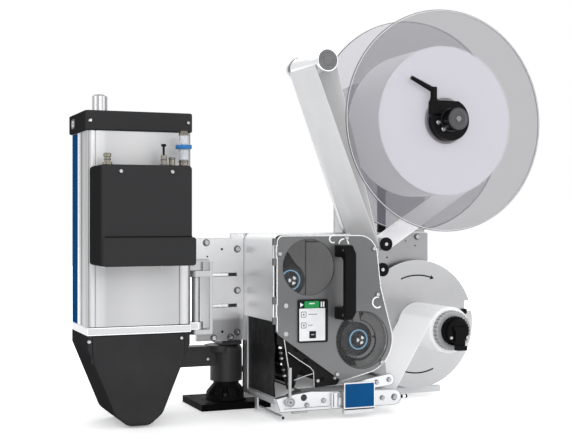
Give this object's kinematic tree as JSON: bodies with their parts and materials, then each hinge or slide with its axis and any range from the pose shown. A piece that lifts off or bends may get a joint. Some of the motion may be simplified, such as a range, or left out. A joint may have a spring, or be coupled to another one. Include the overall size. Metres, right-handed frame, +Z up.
{
  "type": "case labelling machine",
  "caption": "Case labelling machine on a swivel stand: printing unit with door and ribbons, label reel, liner rewinder, web path and a swing-out applicator tower.",
  "frame": {"origin": "centre of the base plate's underside", "axes": "+X right along the machine's front, +Y into its depth, +Z up"},
  "size_m": [0.851, 0.323, 0.72],
  "materials": {
    "black_casting": "textured",
    "black_plastic": "matt",
    "charcoal_plastic": "matt",
    "bright_aluminium": "brushed",
    "anodised_aluminium": "satin",
    "steel": "turned",
    "door_grey": "satin",
    "cover_silver": "satin",
    "clear_plastic": "gloss",
    "smoked_plastic": "gloss",
    "bowl_plastic": "gloss",
    "brass": "machined",
    "label_paper": "coated paper",
    "liner_paper": "glazed paper",
    "ribbon_film": "gloss film",
    "roller_rubber": "ground",
    "display_glass": "gloss",
    "bare_blue": "gloss"
  },
  "bodies": {
    "stand": {"base_plate": "black_casting", "base_flange": "black_casting", "turret_collar": "black_casting"},
    "machine": {"swivel_head": "black_casting", "mounting_angle": "black_casting", "back_plate": "bright_aluminium", "applicator_plate": "bright_aluminium", "frame_screws": "steel", "rear_housing": "cover_silver", "power_inlet": "black_plastic", "side_cover": "cover_silver", "lower_frame": "bright_aluminium", "path_guard": "black_plastic", "door_hinges": "steel", "printhead_bracket": "black_casting", "print_unit": "black_plastic", "front_arm": "bright_aluminium", "front_plate": "bare_blue", "upper_link": "bright_aluminium", "air_tube": "steel", "label_web": "liner_paper", "dancer_web": "liner_paper", "reel_support_plate": "clear_plastic", "reel_post": "black_casting", "shaft_bearings": "black_plastic", "tower_hinge": "bright_aluminium"},
    "tower": {"tower_housing": "anodised_aluminium", "tower_band": "bright_aluminium", "tower_cap": "charcoal_plastic", "guide_rod": "steel", "lower_cover": "black_plastic", "valve_box": "black_plastic", "air_fittings": "brass", "filter_bowl": "bowl_plastic"},
    "valve_plunger": {"valve_plunger": "black_plastic"},
    "applicator": {"applicator_arm": "anodised_aluminium", "vacuum_pad": "black_plastic"},
    "door": {"door_panel": "door_grey", "door_windows": "smoked_plastic", "door_handle": "black_plastic", "display": "display_glass", "door_screws": "steel"},
    "supply_reel": {"supply_shaft": "steel", "reel_flanges": "clear_plastic", "label_roll": "label_paper", "reel_collar": "black_plastic"},
    "clamp_lever": {"clamp_lever": "black_plastic"},
    "dancer": {"dancer_arm": "anodised_aluminium"},
    "dancer_roller": {"dancer_roller": "steel"},
    "guide_roller_upper": {"guide_roller_upper": "black_plastic"},
    "guide_roller_lower": {"guide_roller_lower": "black_plastic"},
    "liner_roller": {"liner_roller": "steel"},
    "platen_roller": {"platen_roller": "roller_rubber"},
    "ribbon_supply": {"ribbon_supply": "ribbon_film"},
    "ribbon_takeup": {"ribbon_takeup": "ribbon_film"},
    "head_lever": {"head_lever": "black_plastic"},
    "rewinder": {"rewind_disc": "bright_aluminium", "rewind_hub": "black_plastic", "liner_roll": "liner_paper"},
    "release_wing": {"release_wing": "black_plastic"}
  },
  "joints": [
    {"name": "swivel", "type": "hinge", "parent": "stand", "child": "machine", "pos_m": [0, 0, 0], "axis": [0, 0, 1], "range_deg": [-45, 45]},
    {"name": "tower_swing", "type": "hinge", "parent": "machine", "child": "tower", "pos_m": [-0.098, -0.125, 0.2], "axis": [0, 0, 1], "range_deg": [0, 70]},
    {"name": "applicator_swing", "type": "hinge", "parent": "tower", "child": "applicator", "pos_m": [-0.207, -0.046, 0.045], "axis": [0, 1, 0], "range_deg": [-90, 0]},
    {"name": "plunger_slide", "type": "slide", "parent": "tower", "child": "valve_plunger", "axis": [0, 0, 1], "range_m": [-0.006, 0], "stiffness_N_per_m": 400, "springref_m": 0.003},
    {"name": "door_swing", "type": "hinge", "parent": "machine", "child": "door", "pos_m": [0.0201, -0.192, 0.23], "axis": [0, 0, 1], "range_deg": [-115, 0]},
    {"name": "supply_spin", "type": "hinge", "parent": "machine", "child": "supply_reel", "pos_m": [0.352, -0.12, 0.52], "axis": [0, 1, 0], "continuous": true},
    {"name": "clamp_lever_swing", "type": "hinge", "parent": "supply_reel", "child": "clamp_lever", "pos_m": [0.321, -0.2055, 0.56], "axis": [0, 0, 1], "range_deg": [0, 180]},
    {"name": "dancer_swing", "type": "hinge", "parent": "machine", "child": "dancer", "pos_m": [0.235, -0.056, 0.298], "axis": [0, 1, 0], "range_deg": [-30, 0], "stiffness_Nm_per_rad": 2, "springref_deg": 57.3, "deforming": ["dancer_web"]},
    {"name": "dancer_roller_spin", "type": "hinge", "parent": "dancer", "child": "dancer_roller", "pos_m": [0.118, -0.13, 0.617], "axis": [0, 1, 0], "continuous": true},
    {"name": "upper_roller_spin", "type": "hinge", "parent": "machine", "child": "guide_roller_upper", "pos_m": [0.235, -0.12, 0.298], "axis": [0, 1, 0], "continuous": true},
    {"name": "lower_roller_spin", "type": "hinge", "parent": "machine", "child": "guide_roller_lower", "pos_m": [0.228, -0.12, 0.253], "axis": [0, 1, 0], "continuous": true},
    {"name": "liner_roller_spin", "type": "hinge", "parent": "machine", "child": "liner_roller", "pos_m": [0.238, -0.12, 0.031], "axis": [0, 1, 0], "continuous": true},
    {"name": "platen_spin", "type": "hinge", "parent": "machine", "child": "platen_roller", "pos_m": [0.066, -0.12, 0.04], "axis": [0, 1, 0], "continuous": true},
    {"name": "ribbon_supply_spin", "type": "hinge", "parent": "machine", "child": "ribbon_supply", "pos_m": [0.06, -0.12, 0.237], "axis": [0, 1, 0], "continuous": true},
    {"name": "ribbon_takeup_spin", "type": "hinge", "parent": "machine", "child": "ribbon_takeup", "pos_m": [0.19, -0.12, 0.129], "axis": [0, 1, 0], "continuous": true},
    {"name": "head_lever_swing", "type": "hinge", "parent": "machine", "child": "head_lever", "pos_m": [0.039, -0.2158, 0.0346], "axis": [0, 1, 0], "range_deg": [0, 60]},
    {"name": "rewind_spin", "type": "hinge", "parent": "machine", "child": "rewinder", "pos_m": [0.3677, -0.12, 0.1404], "axis": [0, 1, 0], "continuous": true},
    {"name": "release_wing_swing", "type": "hinge", "parent": "rewinder", "child": "release_wing", "pos_m": [0.3677, -0.2173, 0.1464], "axis": [-1, 0, 0], "range_deg": [0, 60]}
  ],
  "couplings": [
    {"joint": "upper_roller_spin", "follows": "platen_spin", "ratio": -0.97345},
    {"joint": "lower_roller_spin", "follows": "platen_spin", "ratio": 0.97345},
    {"joint": "liner_roller_spin", "follows": "platen_spin", "ratio": 1}
  ]
}
